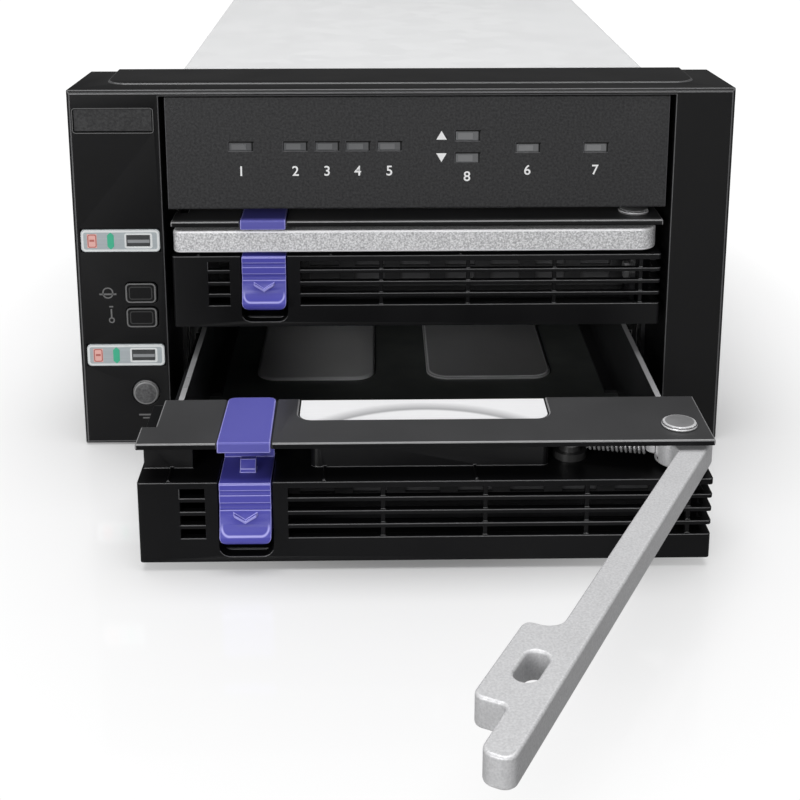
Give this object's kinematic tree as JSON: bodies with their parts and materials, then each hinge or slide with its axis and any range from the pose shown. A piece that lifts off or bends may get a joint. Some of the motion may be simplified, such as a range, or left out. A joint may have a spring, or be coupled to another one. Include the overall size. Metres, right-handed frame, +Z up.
{
  "type": "hot swap drive cage",
  "caption": "Two-bay hot swap cage for 3.5 inch drives: black bezel with status panel over stacked latching trays in a steel cage with rear fan.",
  "frame": {"origin": "on the base plane, in the middle of the tray opening, at the bezel rear seating plane (mount base_face)", "axes": "+X to the right seen from the front, the front faces -Y and trays draw out along -Y, +Z up"},
  "size_m": [0.149, 0.3526, 0.0848],
  "materials": {
    "badge_plastic": "blank finely grained plate",
    "bezel_plastic": "fine textured black ABS",
    "board_green": "solder-masked board",
    "bright_sheet": "bright zinc-plated sheet",
    "button_black": "satin button",
    "chip_black": "chip packages",
    "dip_blue": "blue switch body",
    "fan_plastic": "black PBT",
    "guide_plastic": "glossy black acetal",
    "lever_cast": "satin die-cast aluminium",
    "pad_grey": "grey damping pad",
    "painted_sheet": "light grey zinc-coated sheet",
    "panel_plastic": "textured charcoal ABS",
    "pin_steel": "bright steel",
    "post_steel": "dark steel",
    "purple_plastic": "violet moulded plastic",
    "rail_steel": "black coated steel",
    "screw_steel": "zinc-plated steel",
    "smoked_lens": "smoked lens",
    "socket_black": "black liquid crystal polymer",
    "spring_steel": "spring steel",
    "strip_metal": "brushed strip",
    "tray_plastic": "satin black ABS"
  },
  "bodies": {
    "cage": {"bezel": "bezel_plastic", "badge_plate": "badge_plastic", "status_strip_lower": "strip_metal", "status_strip_upper": "strip_metal", "status_lenses": "smoked_lens", "front_board": "board_green", "indicator_panel": "panel_plastic", "indicator_lenses": "smoked_lens", "chassis_shell": "painted_sheet", "chassis_floor": "painted_sheet", "bay_pads": "pad_grey", "mid_shelf": "painted_sheet", "controller_deck": "painted_sheet", "guide_rails": "guide_plastic", "side_bracket_left": "painted_sheet", "side_bracket_right": "painted_sheet", "bracket_screws": "screw_steel", "bezel_screws": "screw_steel", "rear_panel": "painted_sheet", "fan_frame": "fan_plastic", "fan_screws": "screw_steel", "backplane_board": "board_green", "drive_sockets": "socket_black", "controller_board": "board_green", "controller_parts": "chip_black", "controller_screws": "screw_steel", "host_port": "socket_black", "power_port": "socket_black", "dip_switch": "dip_blue"},
    "fan_rotor": {"fan_rotor": "fan_plastic"},
    "mute_button": {"mute_button": "bezel_plastic"},
    "info_button": {"info_button": "bezel_plastic"},
    "round_button": {"round_button": "button_black"},
    "upper_tray": {"upper_tray_head": "tray_plastic", "upper_tray_cover": "tray_plastic", "upper_latch_cap": "purple_plastic", "upper_cross_plate": "bright_sheet", "upper_tray_frame": "rail_steel", "upper_frame_screws": "screw_steel", "upper_spring_post": "post_steel", "upper_hinge_pin": "pin_steel", "upper_lever_spring": "spring_steel", "upper_latch_spring": "spring_steel"},
    "upper_lever": {"upper_lever": "lever_cast"},
    "upper_latch": {"upper_latch": "purple_plastic"},
    "lower_tray": {"lower_tray_head": "tray_plastic", "lower_tray_cover": "tray_plastic", "lower_latch_cap": "purple_plastic", "lower_cross_plate": "bright_sheet", "lower_tray_frame": "rail_steel", "lower_frame_screws": "screw_steel", "lower_spring_post": "post_steel", "lower_hinge_pin": "pin_steel", "lower_lever_spring": "spring_steel", "lower_latch_spring": "spring_steel"},
    "lower_lever": {"lower_lever": "lever_cast"},
    "lower_latch": {"lower_latch": "purple_plastic"}
  },
  "joints": [
    {"name": "upper_tray_slide", "type": "slide", "parent": "cage", "child": "upper_tray", "axis": [0, -1, 0], "range_m": [0, 0.175]},
    {"name": "upper_lever_hinge", "type": "hinge", "parent": "upper_tray", "child": "upper_lever", "pos_m": [0.0503, -0.0187, 0.0495], "axis": [0, 0, 1], "range_deg": [0, 75], "deforming": ["upper_lever_spring"]},
    {"name": "upper_latch_slide", "type": "slide", "parent": "upper_tray", "child": "upper_latch", "axis": [0, 0, -1], "range_m": [0, 0.0024], "stiffness_N_per_m": 900, "springref_m": -0.0006, "deforming": ["upper_latch_spring"]},
    {"name": "lower_tray_slide", "type": "slide", "parent": "cage", "child": "lower_tray", "axis": [0, -1, 0], "range_m": [-0.057, 0.118]},
    {"name": "lower_lever_hinge", "type": "hinge", "parent": "lower_tray", "child": "lower_lever", "pos_m": [0.0503, -0.0757, 0.0221], "axis": [0, 0, 1], "range_deg": [-63, 12], "deforming": ["lower_lever_spring"]},
    {"name": "lower_latch_slide", "type": "slide", "parent": "lower_tray", "child": "lower_latch", "axis": [0, 0, -1], "range_m": [0, 0.0024], "stiffness_N_per_m": 900, "springref_m": -0.0006, "deforming": ["lower_latch_spring"]},
    {"name": "mute_button_press", "type": "slide", "parent": "cage", "child": "mute_button", "axis": [0, 1, 0], "range_m": [0, 0.0008], "stiffness_N_per_m": 600, "springref_m": -0.0004},
    {"name": "info_button_press", "type": "slide", "parent": "cage", "child": "info_button", "axis": [0, 1, 0], "range_m": [0, 0.0008], "stiffness_N_per_m": 600, "springref_m": -0.0004},
    {"name": "round_button_press", "type": "slide", "parent": "cage", "child": "round_button", "axis": [0, 1, 0], "range_m": [0, 0.0008], "stiffness_N_per_m": 600, "springref_m": -0.0004},
    {"name": "fan_spin", "type": "hinge", "parent": "cage", "child": "fan_rotor", "pos_m": [0, 0.1695, 0.02865], "axis": [0, 1, 0], "continuous": true}
  ]
}
